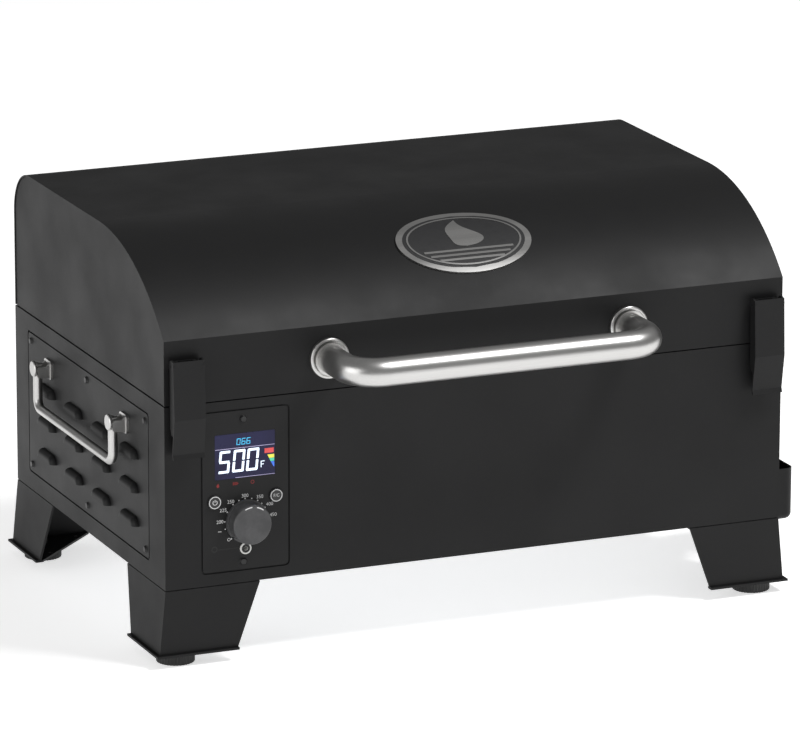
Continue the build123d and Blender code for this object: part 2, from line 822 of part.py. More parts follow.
def leg(side, end):
    """A folded corner leg: two plates round the corner, a screw flange and a foot plate."""
    corner_x = side * (half_w + leg_splay + plate_lip)
    corner_y = end * (half_d + plate_lip)
    with BuildPart() as piece:
        add(leg_angle(side, end, foot_h + plate_t, leg_splay, leg_bottom_x, leg_bottom_y))
        add(leg_angle(side, end, base_z - leg_reveal, 0, leg_top_x, leg_top_y))
        loft()
        with BuildSketch(Plane.XY.offset(base_z)):
            with BuildLine():
                Polyline(
                    (side * (half_w - 1), end * (half_d - 1)),
                    (side * (half_w - leg_top_x), end * (half_d - 1)),
                    (side * (half_w - leg_top_x), end * (half_d - 20)),
                    (side * (half_w - 20), end * (half_d - leg_top_y)),
                    (side * (half_w - 1), end * (half_d - leg_top_y)),
                    close=True,
                )
            make_face()
        extrude(amount=-plate_t)
        with BuildSketch(Plane.XY.offset(foot_h)):
            with BuildLine():
                Polyline(
                    (corner_x, corner_y),
                    (corner_x - side * (leg_bottom_x + plate_lip), corner_y),
                    (corner_x - side * (leg_bottom_x + plate_lip), corner_y - end * 7),
                    (corner_x - side * 7, corner_y - end * (leg_bottom_y + plate_lip)),
                    (corner_x, corner_y - end * (leg_bottom_y + plate_lip)),
                    close=True,
                )
            make_face()
        extrude(amount=plate_t)
        with BuildSketch(Plane.XY):
            with Locations(foot_centre(side, end)):
                Circle(stud_r + running)
            with Locations(*leg_screws_xy):
                Circle(screw_hole_r)
        extrude(amount=base_z + 1, mode=Mode.SUBTRACT)
    return piece


def levelling_foot(side, end):
    """A knurled disc on a threaded stud."""
    x, y = foot_centre(side, end)
    with BuildPart() as piece:
        with BuildSketch(Plane.XY):
            with Locations((x, y)):
                Circle(foot_r)
                with PolarLocations(foot_r + 0.4, 36):
                    Circle(1.0, mode=Mode.SUBTRACT)
        extrude(amount=foot_h - 0.4)
        chamfer(piece.faces().sort_by(Axis.Z)[0].outer_wire().edges(), 0.5)
        with BuildSketch(Plane.XY):
            with Locations((x, y)):
                Circle(stud_r)
        extrude(amount=foot_h + plate_t + 14)
    return piece


for end, end_name in ((-1, "front"), (1, "back")):
    for side, side_name in ((-1, "left"), (1, "right")):
        save(leg(side, end), f"leg_{end_name}_{side_name}")
        save(levelling_foot(side, end), f"foot_{end_name}_{side_name}")

# ---------------------------------------------------------------- grease cup
hook_l = 30.0
hook_t = 0.8
with BuildPart() as grease_cup:
    with BuildSketch(Plane.XY.offset(cup_top - cup_h)):
        with Locations((cup_x + cup_w / 2, cup_y)):
            RectangleRounded(cup_w, cup_l, 8)
    extrude(amount=cup_h)
    fillet(grease_cup.faces().sort_by(Axis.Z)[0].edges(), 6)
    offset(amount=-cup_t, openings=grease_cup.faces().sort_by(Axis.Z)[-1])
    with BuildSketch(Plane.XZ.offset(-cup_y)):
        with BuildLine():
            Polyline(
                (cup_x + cup_t, cup_top - 6),
                (cup_x + cup_t, cup_top + 2.3 + hook_t),
                (half_w + 1.9, cup_top + 2.3 + hook_t),
                (half_w + 1.9, cup_top - 2.4),
                (half_w + 1.9 + hook_t, cup_top - 2.4),
                (half_w + 1.9 + hook_t, cup_top + 2.3),
                (cup_x, cup_top + 2.3),
                (cup_x, cup_top - 6),
                close=True,
            )
        make_face()
    extrude(amount=hook_l / 2, both=True)
save(grease_cup, "grease_cup")

with BuildPart() as cup_bracket:
    with BuildSketch(Plane.XZ.offset(-cup_y)):
        with BuildLine():
            Polyline(
                (half_w, cup_top + 2),
                (half_w + 1.5, cup_top + 2),
                (half_w + 1.5, cup_top - 10),
                (half_w + 3.1, cup_top - 10),
                (half_w + 3.1, cup_top + 2),
                (half_w + 4.3, cup_top + 2),
                (half_w + 4.3, cup_top - 11.5),
                (half_w, cup_top - 11.5),
                close=True,
            )
        make_face()
    extrude(amount=hook_l / 2 + 4, both=True)
save(cup_bracket, "cup_bracket")

# ---------------------------------------------------------------- carry handles
ear_r = 2.9
ear_t = 2.5
ear_gap = 9.4
eye_out = 3.0                       # pivot to the inner face of the round end disc
disc_r = 7.3
disc_t = 2.2
disc_round = 0.7
pivot_pin_r = 1.5


def carry_pivots(side):
    x = side * (half_w + carry_out)
    return [Vector(x, carry_y + end * carry_span / 2, carry_z) for end in (-1, 1)]


with BuildPart() as carry_handle_brackets:
    for side in (-1, 1):
        for pivot in carry_pivots(side):
            with BuildSketch(end_plane(side, pivot.Y, pivot.Z - 1.5)):
                RectangleRounded(18, 17, 3)
            extrude(amount=2)
            for end in (-1, 1):
                ear_face = Plane(
                    (side * half_w, pivot.Y + end * ear_gap / 2, pivot.Z),
                    x_dir=(side, 0, 0),
                    z_dir=(0, end, 0),
                )
                up = -side * end            # the ear plane's own Y turns over with its side and end
                with BuildSketch(ear_face):
                    with BuildLine():
                        Polyline(
                            (0, up * 5.0),
                            (2, up * 5.0),
                            (4.6, up * (ear_r - 0.1)),
                            (carry_out, up * (ear_r - 0.1)),
                            (carry_out + ear_r - 0.2, 0),
                            (carry_out + ear_r - 0.2, up * -6.5),
                            (2, up * -9.0),
                            (0, up * -9.0),
                            close=True,
                        )
                    make_face()
                    with Locations((carry_out, 0)):
                        Circle(ear_r)
                extrude(amount=ear_t)
            with BuildSketch(Plane((pivot.X, pivot.Y, pivot.Z), z_dir=(0, 1, 0))):
                Circle(pivot_pin_r)
            extrude(amount=ear_gap / 2 + ear_t, both=True)
save(carry_handle_brackets, "carry_handle_brackets")


def carry_handle(side):
    """A rod bail hanging from two pinned eyes, each with a round end disc."""
    front, back = carry_pivots(side)
    grip_z = carry_z - carry_drop
    with BuildPart() as handle:
        with BuildLine():
            FilletPolyline(
                (front.X, front.Y, carry_z - 3),
                (front.X, front.Y, grip_z),
                (back.X, back.Y, grip_z),
                (back.X, back.Y, carry_z - 3),
                radius=9,
            )
        with BuildSketch(Plane((front.X, front.Y, carry_z - 3), z_dir=(0, 0, -1))):
            Circle(rod_r)
        sweep()
        for pivot in (front, back):
            with BuildSketch(Plane((pivot.X, pivot.Y, pivot.Z), z_dir=(0, 1, 0))):
                Circle(4.8)
            extrude(amount=ear_gap / 2 - 0.35, both=True)
            disc_plane = Plane((pivot.X, pivot.Y, pivot.Z), x_dir=(0, side, 0), z_dir=(side, 0, 0))
            with BuildSketch(disc_plane):
                Circle(3.6)
            extrude(amount=eye_out + 1)
            with BuildSketch(disc_plane.offset(eye_out)):
                Circle(disc_r)
            extrude(amount=disc_t - disc_round)
            with BuildSketch(disc_plane.offset(eye_out + disc_t - disc_round)):
                Circle(disc_r)
            extrude(amount=disc_round, taper=45)
            with BuildSketch(Plane((pivot.X, pivot.Y, pivot.Z), z_dir=(0, 1, 0))):
                Circle(pivot_pin_r + running)
            extrude(amount=ear_gap, both=True, mode=Mode.SUBTRACT)
    return handle


save(carry_handle(-1), "carry_handle_left")
save(carry_handle(1), "carry_handle_right")

# ---------------------------------------------------------------- lid
end_recess = 0.7                    # end plates sit just inside the wrap's edge
end_gap = 0.35
end_flange = 12.0


def lid_profile(inset):
    """The lid's cross-section, its curved sides drawn in by inset."""
    front = -half_d + inset
    back = half_d - inset
    high = top_z - inset
    radius = curve_r - inset
    round_r = back_round - inset
    front_z = curve_z + sqrt(radius**2 - (curve_y - front) ** 2)
    middle = degrees(atan2(front_z - curve_z, front - curve_y))
    half = round_r * sin(radians(45))
    with BuildSketch() as profile:
        with BuildLine():
            Polyline((back, high - round_r), (back, lid_z), (front, lid_z), (front, front_z))
            CenterArc((curve_y, curve_z), radius, 90, middle - 90)
            Line((curve_y, high), (back - round_r, high))
            ThreePointArc(
                (back - round_r, high),
                (back - round_r + half, high - round_r + half),
                (back, high - round_r),
            )
        make_face()
    return profile.sketch


outer_profile = lid_profile(0)
sheet_profile = lid_profile(sheet)
plate_profile = lid_profile(sheet + end_gap)
inner_profile = lid_profile(2 * sheet)

handle_ends = [(handle_x + end * handle_span / 2, handle_z) for end in (-1, 1)]
handle_bolt_r = 3.0

with BuildPart() as lid_wrap:
    with BuildSketch(Plane.YZ):
        add(outer_profile)
        add(sheet_profile, mode=Mode.SUBTRACT)
    extrude(amount=half_w, both=True)
    with BuildSketch(front_plane()):
        with Locations(*handle_ends):
            Circle(handle_bolt_r + 0.2)
    extrude(amount=-sheet, mode=Mode.SUBTRACT)
save(lid_wrap, "lid_wrap")


def lid_end(side):
    """An end plate with a flange that lies against the inside of the wrap."""
    with BuildPart() as plate:
        with BuildSketch(Plane.YZ.offset(side * (half_w - end_recess))):
            add(plate_profile)
        extrude(amount=-side * sheet)
        with BuildSketch(Plane.YZ.offset(side * (half_w - end_recess - sheet))):
            add(sheet_profile)
            add(inner_profile, mode=Mode.SUBTRACT)
        extrude(amount=-side * end_flange)
        with BuildSketch(Plane.YZ.offset(side * (half_w - end_recess - sheet))):
            add(plate_profile)
            add(inner_profile, mode=Mode.SUBTRACT)
        extrude(amount=side * 0.5)
    return plate


save(lid_end(-1), "lid_end_left")
save(lid_end(1), "lid_end_right")

with BuildPart() as lid_handle:
    with BuildLine():
        FilletPolyline(
            (handle_ends[0][0], -half_d - 4, handle_z),
            (handle_ends[0][0], -half_d - handle_out, handle_z),
            (handle_ends[1][0], -half_d - handle_out, handle_z),
            (handle_ends[1][0], -half_d - 4, handle_z),
            radius=handle_bend,
        )
    with BuildSketch(front_plane(handle_ends[0][0], handle_z, 4)):
        Circle(handle_r)
        Circle(handle_r - 1.5, mode=Mode.SUBTRACT)
    sweep()
save(lid_handle, "lid_handle")

rosette_r = 18.2
rosette_t = 4.0
valley_r = 15.9
collar_r = 14.8
with BuildPart() as handle_rosettes:
    with BuildSketch(front_plane()):
        with Locations(*handle_ends):
            Circle(rosette_r)
    extrude(amount=rosette_t)
    fillet(handle_rosettes.faces().sort_by(Axis.Y)[:2].edges(), 1.4)
    with BuildSketch(front_plane(out=rosette_t)):
        with Locations(*handle_ends):
            Circle(valley_r)
    extrude(amount=-2.6, mode=Mode.SUBTRACT)
    with BuildSketch(front_plane(out=1)):
        with Locations(*handle_ends):
            Circle(collar_r)
            Circle(handle_r, mode=Mode.SUBTRACT)
    extrude(amount=5.6)
    with BuildSketch(front_plane(out=1)):
        with Locations(*handle_ends):
            Circle(handle_r - 1.6)
    extrude(amount=9)
    with BuildSketch(front_plane()):
        with Locations(*handle_ends):
            Circle(handle_bolt_r)
    extrude(amount=8, mode=Mode.SUBTRACT)
save(handle_rosettes, "handle_rosettes")

with BuildPart() as handle_bolts:
    with BuildSketch(front_plane(out=-sheet)):
        with Locations(*handle_ends):
            RegularPolygon(6, 6)
    extrude(amount=-4)
    with BuildSketch(front_plane(out=-sheet)):
        with Locations(*handle_ends):
            Circle(handle_bolt_r - 0.1)
    extrude(amount=sheet + 7.5)
save(handle_bolts, "handle_bolts")

badge_x = 10.0
badge_lean = 28.0                   # how far round the curve from the flat top, in degrees
badge_w = 127.0
badge_h = 78.0
badge_t = 1.8
badge_middle = (
    badge_x,
    curve_y - curve_r * sin(radians(badge_lean)),
    curve_z + curve_r * cos(radians(badge_lean)),
)
badge_plane = Plane(
    badge_middle, x_dir=(1, 0, 0), z_dir=(0, -sin(radians(badge_lean)), cos(radians(badge_lean)))
)
curve_axis = (curve_y, curve_z)
with BuildPart() as badge:
    with BuildSketch(badge_plane):
        Ellipse(badge_w / 2, badge_h / 2)
    extrude(amount=30, both=True)
    with BuildSketch(Plane.YZ.offset(badge_x)):
        with Locations(curve_axis):
            Circle(curve_r + badge_t)
    extrude(amount=badge_w, both=True, mode=Mode.INTERSECT)
    with BuildSketch(Plane.YZ.offset(badge_x)):
        with Locations(curve_axis):
            Circle(curve_r)
    extrude(amount=badge_w, both=True, mode=Mode.SUBTRACT)
save(badge, "badge")

# ---------------------------------------------------------------- lid hinges
leaf_w = 3 * knuckle_l + 0.6
leaf_t = 2.0
pin_r = 2.5
with BuildPart() as hinge_pins:
    for side in (-1, 1):
        with BuildSketch(Plane((side * hinge_x, hinge_y, seam_z), z_dir=(1, 0, 0))):
            Circle(pin_r)
        extrude(amount=leaf_w / 2 + 1.5, both=True)
save(hinge_pins, "hinge_pins")


def hinge_leaves(knuckles_at, away, bore_r):
    """Two flat leaves on the outside of the back, with knuckles round the pin line."""
    with BuildPart() as leaves:
        for middle in (-hinge_x, hinge_x):
            for knuckle_at in knuckles_at:
                left = middle + knuckle_at - knuckle_l / 2
                with BuildSketch(Plane((left, 0, 0), x_dir=(0, 1, 0), z_dir=(1, 0, 0))):
                    with Locations((hinge_y, seam_z)):
                        Circle(knuckle_r)
                    with Locations((half_d + leaf_t / 2, seam_z + away * 5)):
                        Rectangle(leaf_t, 10)
                    with Locations((half_d + 3, seam_z + away * 2.5)):
                        Rectangle(6, 5)
                    with Locations((hinge_y, seam_z)):
                        Circle(bore_r, mode=Mode.SUBTRACT)
                extrude(amount=knuckle_l)
            with BuildSketch(Plane.XZ.offset(-half_d)):
                with Locations((middle, seam_z + away * 24)):
                    Rectangle(leaf_w, 36)
                with Locations((middle - 20, seam_z + away * 30), (middle + 20, seam_z + away * 30)):
                    Circle(2.2, mode=Mode.SUBTRACT)
            extrude(amount=-leaf_t)
    return leaves


body_hinge_leaves = hinge_leaves((-knuckle_l - 0.3, knuckle_l + 0.3), -1, pin_r)
save(body_hinge_leaves, "body_hinge_leaves")
lid_hinge_leaves = hinge_leaves((0,), 1, pin_r + running)
save(lid_hinge_leaves, "lid_hinge_leaves")

# ---------------------------------------------------------------- latches
latch_pin_r = 1.5
latch_ear_r = 3.0
latch_cheek_r = 5.5
latch_t = 1.5
latch_face = 5.0                    # pin to the front of the latch plate at its top
latch_top = latch_pin_z + 4.6
latch_fold_z = seam_z - 9.5
latch_low_z = seam_z - 45.0
latch_cheek_z = seam_z - 24.0

with BuildPart() as latch_brackets:
    for side in (-1, 1):
        x = side * latch_x
        with BuildSketch(front_plane(x, latch_pin_z)):
            with Locations((0, -5.5)):
                Rectangle(20, 17)
        extrude(amount=1.5)
        for ear in (-1, 1):
            with BuildSketch(Plane((x + ear * 8.5, 0, 0), x_dir=(0, 1, 0), z_dir=(1, 0, 0))):
                with Locations((latch_pin_y, latch_pin_z)):
                    Circle(latch_ear_r)
                with Locations(((latch_pin_y - half_d) / 2, latch_pin_z)):
                    Rectangle(-half_d - latch_pin_y, 2 * latch_ear_r)
            extrude(amount=1.5, both=True)
        with BuildSketch(Plane((x, latch_pin_y, latch_pin_z), z_dir=(1, 0, 0))):
            Circle(latch_pin_r)
        extrude(amount=latch_w / 2 - 0.2, both=True)
save(latch_brackets, "latch_brackets")


def latch_plate(side):
    """A folded plate with two cheeks that turn on the bracket's pin."""
    x = side * latch_x
    top_y = latch_pin_y - latch_face
    fold_y = top_y - 2.5
    low_y = top_y + 2.5
    section = Plane((x, 0, 0), x_dir=(0, 1, 0), z_dir=(1, 0, 0))
    with BuildPart() as latch:
        with BuildSketch(section):
            with BuildLine():
                Polyline(
                    (top_y, latch_top),
                    (fold_y, latch_fold_z),
                    (low_y, latch_low_z + 4),
                    (low_y - 1.8, latch_low_z),
                    (low_y - 1.8 + latch_t, latch_low_z),
                    (low_y + latch_t, latch_low_z + 3.6),
                    (fold_y + latch_t + 0.1, latch_fold_z),
                    (top_y + latch_t, latch_top),
                    close=True,
                )
            make_face()
        extrude(amount=latch_w / 2, both=True)
        for cheek in (-1, 1):
            with BuildSketch(section.offset(cheek * (latch_w / 2 - latch_t))):
                with Locations((latch_pin_y, latch_pin_z)):
                    Circle(latch_cheek_r)
                with BuildLine():
                    Polyline(
                        (top_y + 0.2, latch_pin_z + 3),
                        (latch_pin_y, latch_pin_z + 3),
                        (latch_pin_y + 4, latch_pin_z),
                        (latch_pin_y + 3.5, latch_cheek_z + 6),
                        (latch_pin_y, latch_cheek_z),
                        (fold_y + 2.6, latch_cheek_z),
                        (fold_y + 0.4, latch_fold_z),
                        close=True,
                    )
                make_face()
                with Locations((latch_pin_y, latch_pin_z)):
                    Circle(latch_pin_r + running, mode=Mode.SUBTRACT)
            extrude(amount=cheek * latch_t)
    return latch


save(latch_plate(-1), "latch_plate_left")
save(latch_plate(1), "latch_plate_right")

catch_z = seam_z - 25.0
with BuildPart() as latch_catches:
    for side in (-1, 1):
        x = side * latch_x
        with BuildSketch(front_plane(x, catch_z)):
            Rectangle(20, 20)
        extrude(amount=1.5)
        with BuildSketch(Plane((x, 0, 0), x_dir=(0, 1, 0), z_dir=(1, 0, 0))):
            with BuildLine():
                Polyline(
                    (-half_d - 1, catch_z + 3),
                    (-half_d - 6.5, catch_z + 3),
                    (-half_d - 7.5, catch_z + 1),
                    (-half_d - 7.5, catch_z - 1),
                    (-half_d - 1, catch_z - 6),
                    close=True,
                )
            make_face()
        extrude(amount=8, both=True)
save(latch_catches, "latch_catches")
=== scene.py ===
import bpy
import json
from math import cos, pi, radians, sin, sqrt
from mathutils import Matrix, Vector


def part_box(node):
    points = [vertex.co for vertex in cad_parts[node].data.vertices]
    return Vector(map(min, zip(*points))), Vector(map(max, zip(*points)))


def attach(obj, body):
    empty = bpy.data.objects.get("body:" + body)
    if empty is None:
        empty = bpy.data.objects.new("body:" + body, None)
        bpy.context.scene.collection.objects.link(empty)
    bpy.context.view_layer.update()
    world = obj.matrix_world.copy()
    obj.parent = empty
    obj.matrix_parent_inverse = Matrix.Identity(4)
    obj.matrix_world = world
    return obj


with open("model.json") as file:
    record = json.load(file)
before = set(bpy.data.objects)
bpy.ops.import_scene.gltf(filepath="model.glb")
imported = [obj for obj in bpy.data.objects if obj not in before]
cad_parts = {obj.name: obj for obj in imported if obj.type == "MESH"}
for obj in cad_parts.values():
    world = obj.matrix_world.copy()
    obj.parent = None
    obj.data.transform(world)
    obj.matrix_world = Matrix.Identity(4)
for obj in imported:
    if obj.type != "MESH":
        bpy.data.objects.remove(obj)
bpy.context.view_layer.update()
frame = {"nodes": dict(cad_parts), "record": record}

nodes = frame["nodes"]
scene = bpy.context.scene


# ---------------------------------------------------------------- camera
def facing(way):
    """The turn that points a camera or a light along way."""
    return way.to_track_quat("-Z", "Y").to_matrix().to_4x4()


def make_camera():
    """A long lens from the front left, a little above the lid."""
    azimuth = radians(22.975)
    elevation = radians(15.11)
    roll = radians(0.13)
    distance = 5.6
    aim = Vector((-0.0367, -0.0951, 0.2267))
    forward = Vector((
        sin(azimuth) * cos(elevation),
        cos(azimuth) * cos(elevation),
        -sin(elevation),
    ))
    data = bpy.data.cameras.new("camera")
    data.sensor_width = 36.0
    data.lens = 284.1
    data.shift_x = 0.00226
    data.shift_y = -0.00654
    data.clip_start = 0.1
    data.clip_end = 60.0
    camera = bpy.data.objects.new("camera", data)
    scene.collection.objects.link(camera)
    turn = facing(forward) @ Matrix.Rotation(roll, 4, "Z")
    camera.matrix_world = Matrix.Translation(aim - forward * distance) @ turn
    scene.camera = camera


# ---------------------------------------------------------------- lights and floor
def area_light(name, place, target, size, power):
    data = bpy.data.lights.new(name, "AREA")
    data.shape = "RECTANGLE"
    data.size, data.size_y = size
    data.energy = power
    light = bpy.data.objects.new(name, data)
    scene.collection.objects.link(light)
    light.matrix_world = Matrix.Translation(place) @ facing(Vector(target) - Vector(place))


def make_lights():
    """A broad soft light on the left end, a narrow one over the front, and a dim room."""
    middle = (0, 0, 0.2)
    area_light("left_softbox", (-3.2, -0.9, 1.1), middle, (2.4, 2.0), 30)
    area_light("overhead_softbox", (1.3, -1.3, 2.9), middle, (1.1, 0.5), 76)
    area_light("low_front_fill", (-0.6, -3.4, 0.7), middle, (2.0, 0.5), 1)
    world = bpy.data.worlds.new("studio")
    world.use_nodes = True
    background = world.node_tree.nodes["Background"]
    background.inputs["Color"].default_value = (1, 1, 1, 1)
    background.inputs["Strength"].default_value = 0.22
    scene.world = world
    scene.view_settings.view_transform = "Standard"


def make_floor():
    """A pale floor that glows a little, so that it stays near white under soft light."""
    bpy.ops.mesh.primitive_plane_add(size=40, location=(0, 0, 0))
    floor = bpy.context.object
    floor.name = "floor"
    material = bpy.data.materials.new("floor_white")
    material.use_nodes = True
    shader = material.node_tree.nodes["Principled BSDF"]
    shader.inputs["Base Color"].default_value = (0.93, 0.93, 0.93, 1)
    shader.inputs["Roughness"].default_value = 0.9
    shader.inputs["Specular IOR Level"].default_value = 0.1
    shader.inputs["Emission Color"].default_value = (1, 1, 1, 1)
    shader.inputs["Emission Strength"].default_value = 0.62
    floor.data.materials.append(material)


# ---------------------------------------------------------------- material parts
class Paint:
    """A Principled material with short helpers for its procedural layers."""

    def __init__(self, name, colour, roughness, metallic=0.0, specular=0.5, coat=0.0):
        self.material = bpy.data.materials.new(name)
        self.material.use_nodes = True
        self.tree = self.material.node_tree
        self.shader = self.tree.nodes["Principled BSDF"]
        self.colour = (*colour, 1)
        self.shader.inputs["Base Color"].default_value = self.colour
        self.shader.inputs["Roughness"].default_value = roughness
        self.shader.inputs["Metallic"].default_value = metallic
        self.shader.inputs["Specular IOR Level"].default_value = specular
        self.shader.inputs["Coat Weight"].default_value = coat
        self.shader.inputs["Coat Roughness"].default_value = 0.1
        self.place = self.tree.nodes.new("ShaderNodeTexCoord").outputs["Object"]
        self.tint = None
        self.height = None

    def node(self, kind, **sockets):
        made = self.tree.nodes.new(kind)
        for socket, value in sockets.items():
            target = made.inputs[socket.replace("_", " ")]
            if hasattr(value, "is_linked"):
                self.tree.links.new(value, target)
            else:
                target.default_value = value
        return made

    def link(self, out, target):
        self.tree.links.new(out, target)

    def stretched(self, scale):
        """Object coordinates scaled differently along each axis."""
        mapping = self.node("ShaderNodeMapping", Vector=self.place)
        mapping.inputs["Scale"].default_value = scale
        return mapping.outputs["Vector"]

    def noise(self, scale, detail=4.0, place=None):
        made = self.node("ShaderNodeTexNoise", Vector=place or self.place)
        made.inputs["Scale"].default_value = scale
        made.inputs["Detail"].default_value = detail
        made.inputs["Roughness"].default_value = 0.55
        return made.outputs["Fac"]

    def ramp(self, value, low, high, out_low=0.0, out_high=1.0):
        made = self.node("ShaderNodeMapRange", Value=value)
        made.inputs["From Min"].default_value = low
        made.inputs["From Max"].default_value = high
        made.inputs["To Min"].default_value = out_low
        made.inputs["To Max"].default_value = out_high
        return made.outputs["Result"]

    def mix(self, factor, a, b):
        made = self.tree.nodes.new("ShaderNodeMix")
        made.data_type = "RGBA"
        self.link(factor, made.inputs[0])
        for value, target in ((a, made.inputs[6]), (b, made.inputs[7])):
            if hasattr(value, "is_linked"):
                self.link(value, target)
            else:
                target.default_value = value
        return made.outputs[2]

    def vary_colour(self, factor, colour):
        """Lay colour over what is there, by factor."""
        self.tint = self.mix(factor, self.tint or self.colour, (*colour, 1))
        self.link(self.tint, self.shader.inputs["Base Color"])

    def patches(self, colour, scale, low, high, amount=1.0, detail=4.0):
        """Lay colour on in soft patches, where noise rises from low to high."""
        self.vary_colour(self.ramp(self.noise(scale, detail), low, high, 0.0, amount), colour)

    def vary_roughness(self, value, low, high):
        self.link(self.ramp(value, 0.3, 0.7, low, high), self.shader.inputs["Roughness"])

    def bump(self, value, depth, strength=0.5):
        """Add a bump layer; depth is in metres."""
        made = self.node("ShaderNodeBump", Height=value)
        made.inputs["Strength"].default_value = strength
        made.inputs["Distance"].default_value = depth
        if self.height is not None:
            self.link(self.height, made.inputs["Normal"])
        self.height = made.outputs["Normal"]
        self.link(self.height, self.shader.inputs["Normal"])

    def edges(self, radius):
        """A mask that is 1 along outer edges, within about radius."""
        bevel = self.tree.nodes.new("ShaderNodeBevel")
        bevel.samples = 4
        bevel.inputs["Radius"].default_value = radius
        face = self.tree.nodes.new("ShaderNodeNewGeometry")
        dot = self.tree.nodes.new("ShaderNodeVectorMath")
        dot.operation = "DOT_PRODUCT"
        self.link(bevel.outputs["Normal"], dot.inputs[0])
        self.link(face.outputs["Normal"], dot.inputs[1])
        return self.ramp(dot.outputs["Value"], 0.99, 0.86)

    def multiply(self, a, b):
        made = self.tree.nodes.new("ShaderNodeMath")
        made.operation = "MULTIPLY"
        self.link(a, made.inputs[0])
        self.link(b, made.inputs[1])
        return made.outputs[0]


# ---------------------------------------------------------------- finishes
def powder_coat(name, shade, roughness=0.5, specular=0.2, wear=0.12):
    """Fine-textured black powder coat, a little dusty, faintly rubbed along its edges."""
    paint = Paint(name, (shade, shade, shade * 1.03), roughness, specular=specular)
    paint.patches((shade * 1.5,) * 3, 5.0, 0.35, 0.75, 0.12, detail=2.0)
    paint.patches((shade * 1.8,) * 3, 260.0, 0.55, 0.8, 0.2, detail=2.0)
    rubbed = paint.ramp(paint.noise(45.0), 0.52, 0.7, 0.0, wear)
    paint.vary_colour(paint.multiply(paint.edges(0.0008), rubbed), (0.09, 0.09, 0.09))
    paint.vary_roughness(paint.noise(14.0), roughness - 0.05, roughness + 0.06)
    paint.bump(paint.noise(1500.0, 2.0), 0.00012, 0.3)
    paint.bump(paint.noise(18.0, 1.0), 0.0004, 0.06)
    return paint.material


def brushed_steel(name, shade, roughness, stretch):
    """Satin stainless with fine lines along the axis that stretch is small in."""
    paint = Paint(name, (shade, shade * 0.99, shade * 0.97), roughness, metallic=1.0)
    along = paint.stretched(stretch)
    lines = paint.noise(900.0, 3.0, along)
    paint.vary_colour(paint.ramp(lines, 0.35, 0.7, 0.0, 0.35), (shade * 0.78,) * 3)
    paint.patches((shade * 0.85, shade * 0.83, shade * 0.8), 9.0, 0.5, 0.8, 0.25)
    paint.vary_roughness(paint.noise(30.0, 3.0, along), roughness - 0.05, roughness + 0.08)
    paint.bump(lines, 0.00005, 0.25)
    return paint.material


def heat_steel(name):
    """Bare steel browned and blued by heat, with soot."""
    paint = Paint(name, (0.33, 0.31, 0.29), 0.42, metallic=1.0)
    paint.patches((0.2, 0.15, 0.11), 14.0, 0.4, 0.7)
    paint.patches((0.12, 0.14, 0.2), 31.0, 0.55, 0.75, 0.6)
    paint.patches((0.03, 0.028, 0.026), 6.0, 0.52, 0.72, 0.8, detail=6.0)
    paint.vary_roughness(paint.noise(24.0), 0.35, 0.7)
    paint.bump(paint.noise(220.0), 0.0003, 0.3)
    return paint.material


def galvanised(name):
    """Zinc sheet with a spangle."""
    paint = Paint(name, (0.46, 0.47, 0.48), 0.42, metallic=1.0)
    cells = paint.node("ShaderNodeTexVoronoi", Vector=paint.place)
    cells.inputs["Scale"].default_value = 90.0
    spangle = cells.outputs["Distance"]
    paint.vary_colour(paint.ramp(spangle, 0.1, 0.7, 0.0, 0.5), (0.36, 0.37, 0.39))
    paint.patches((0.25, 0.24, 0.23), 8.0, 0.5, 0.75, 0.4)
    paint.vary_roughness(spangle, 0.36, 0.55)
    paint.bump(paint.noise(180.0), 0.0002, 0.2)
    return paint.material


def enamel(name):
    """Glossy porcelain enamel on rods, slightly greasy."""
    paint = Paint(name, (0.018, 0.018, 0.019), 0.22, coat=0.4)
    paint.patches((0.05, 0.04, 0.03), 40.0, 0.55, 0.75, 0.5)
    paint.vary_roughness(paint.noise(50.0), 0.14, 0.4)
    paint.bump(paint.noise(160.0), 0.0004, 0.3)
    return paint.material


def plastic(name, colour, roughness, grain=700.0):
    """Moulded plastic with a fine grain and faint handling marks."""
    paint = Paint(name, colour, roughness)
    paint.patches(tuple(c * 1.35 for c in colour), 35.0, 0.45, 0.75, 0.3)
    paint.vary_roughness(paint.noise(60.0), roughness - 0.06, roughness + 0.1)
    paint.bump(paint.noise(grain, 2.0), 0.0001, 0.3)
    return paint.material


def circuit_board(name):
    """Green board with paler traces under its lacquer."""
    paint = Paint(name, (0.02, 0.13, 0.05), 0.4, coat=0.3)
    traces = paint.noise(500.0, 1.0, paint.stretched((1, 1, 0.1)))
    paint.vary_colour(paint.ramp(traces, 0.52, 0.56), (0.04, 0.2, 0.09))
    paint.bump(paint.noise(400.0, 1.0), 0.0001, 0.3)
    return paint.material


def satin_knob(name):
    """Dark grey satin knob, unevenly polished by fingers."""
    paint = Paint(name, (0.048, 0.048, 0.05), 0.5, metallic=0.25)
    paint.patches((0.11, 0.11, 0.112), 90.0, 0.4, 0.7, 0.4, detail=3.0)
    paint.vary_roughness(paint.noise(200.0), 0.38, 0.52)
    paint.bump(paint.noise(1200.0, 2.0), 0.00008, 0.25)
    return paint.material


def display_glass(name):
    """Dark indigo display window, faintly lit from behind."""
    paint = Paint(name, (0.01, 0.009, 0.02), 0.3, specular=0.15)
    paint.patches((0.018, 0.018, 0.05), 28.0, 0.35, 0.7, 0.8, detail=1.0)
    paint.vary_roughness(paint.noise(120.0), 0.26, 0.36)
    paint.bump(paint.noise(80.0, 1.0), 0.00003, 0.1)
    glow = paint.mix(paint.noise(30.0, 1.0), (0.006, 0.006, 0.018, 1), (0.014, 0.014, 0.042, 1))
    paint.link(glow, paint.shader.inputs["Emission Color"])
    paint.shader.inputs["Emission Strength"].default_value = 1.0
    return paint.material


